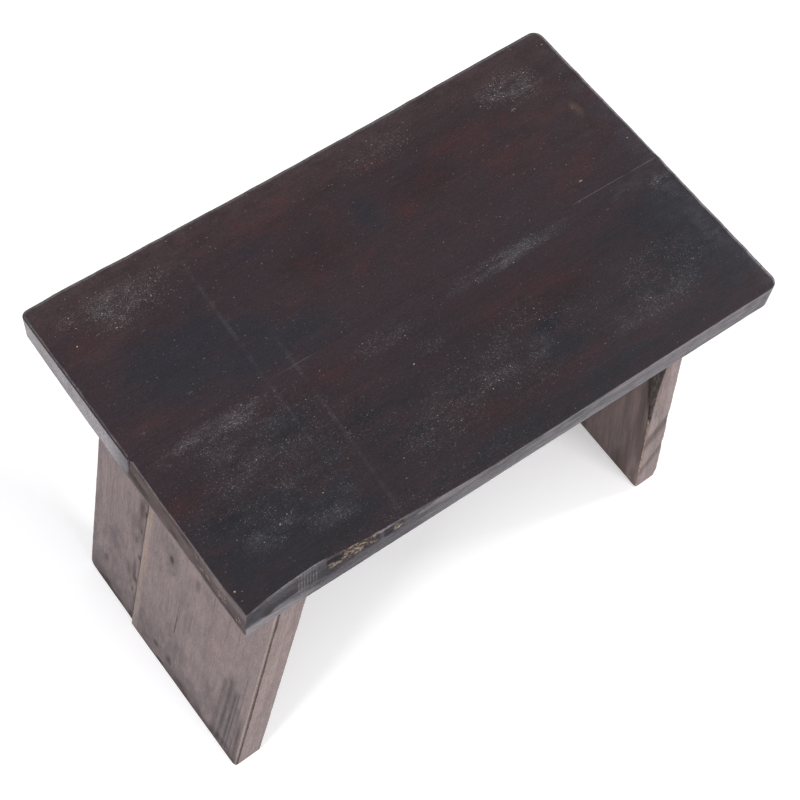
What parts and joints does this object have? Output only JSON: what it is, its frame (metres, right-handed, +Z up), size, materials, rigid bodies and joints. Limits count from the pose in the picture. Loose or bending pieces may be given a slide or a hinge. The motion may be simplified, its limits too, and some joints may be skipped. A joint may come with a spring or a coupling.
{
  "type": "footstool",
  "caption": "Low plank footstool with a flat rectangular seat of edge-joined boards on splayed slab legs, in dark stained wood.",
  "frame": {"origin": "on the floor, under the middle of the stool", "axes": "+X from the left leg to the right leg, along the seat; +Y to the back edge; +Z up"},
  "size_m": [0.4464, 0.269, 0.358],
  "materials": {
    "seat_wood": "dark brown-black stain, waxed satin, worn at the edges",
    "leg_wood": "thin grey-brown stain, waxed satin",
    "dowel_wood": "bare, glued in",
    "nail_steel": "bright drawn wire",
    "wood_filler": "matt filler, sanded flush"
  },
  "bodies": {
    "root": {"top_board_rear": "seat_wood", "top_board_front": "seat_wood", "left_leg_board_rear": "leg_wood", "left_leg_board_front": "leg_wood", "right_leg_board_rear": "leg_wood", "right_leg_board_front": "leg_wood", "top_dowel_1": "dowel_wood", "top_dowel_2": "dowel_wood", "top_dowel_3": "dowel_wood", "top_dowel_4": "dowel_wood", "left_leg_dowel_1": "dowel_wood", "left_leg_dowel_2": "dowel_wood", "left_leg_dowel_3": "dowel_wood", "right_leg_dowel_1": "dowel_wood", "right_leg_dowel_2": "dowel_wood", "right_leg_dowel_3": "dowel_wood", "left_nail_1": "nail_steel", "left_nail_2": "nail_steel", "left_nail_3": "nail_steel", "left_nail_4": "nail_steel", "right_nail_1": "nail_steel", "right_nail_2": "nail_steel", "right_nail_3": "nail_steel", "right_nail_4": "nail_steel", "left_filler_1": "wood_filler", "left_filler_2": "wood_filler", "left_filler_3": "wood_filler", "left_filler_4": "wood_filler", "right_filler_1": "wood_filler", "right_filler_2": "wood_filler", "right_filler_3": "wood_filler", "right_filler_4": "wood_filler"}
  },
  "joints": []
}
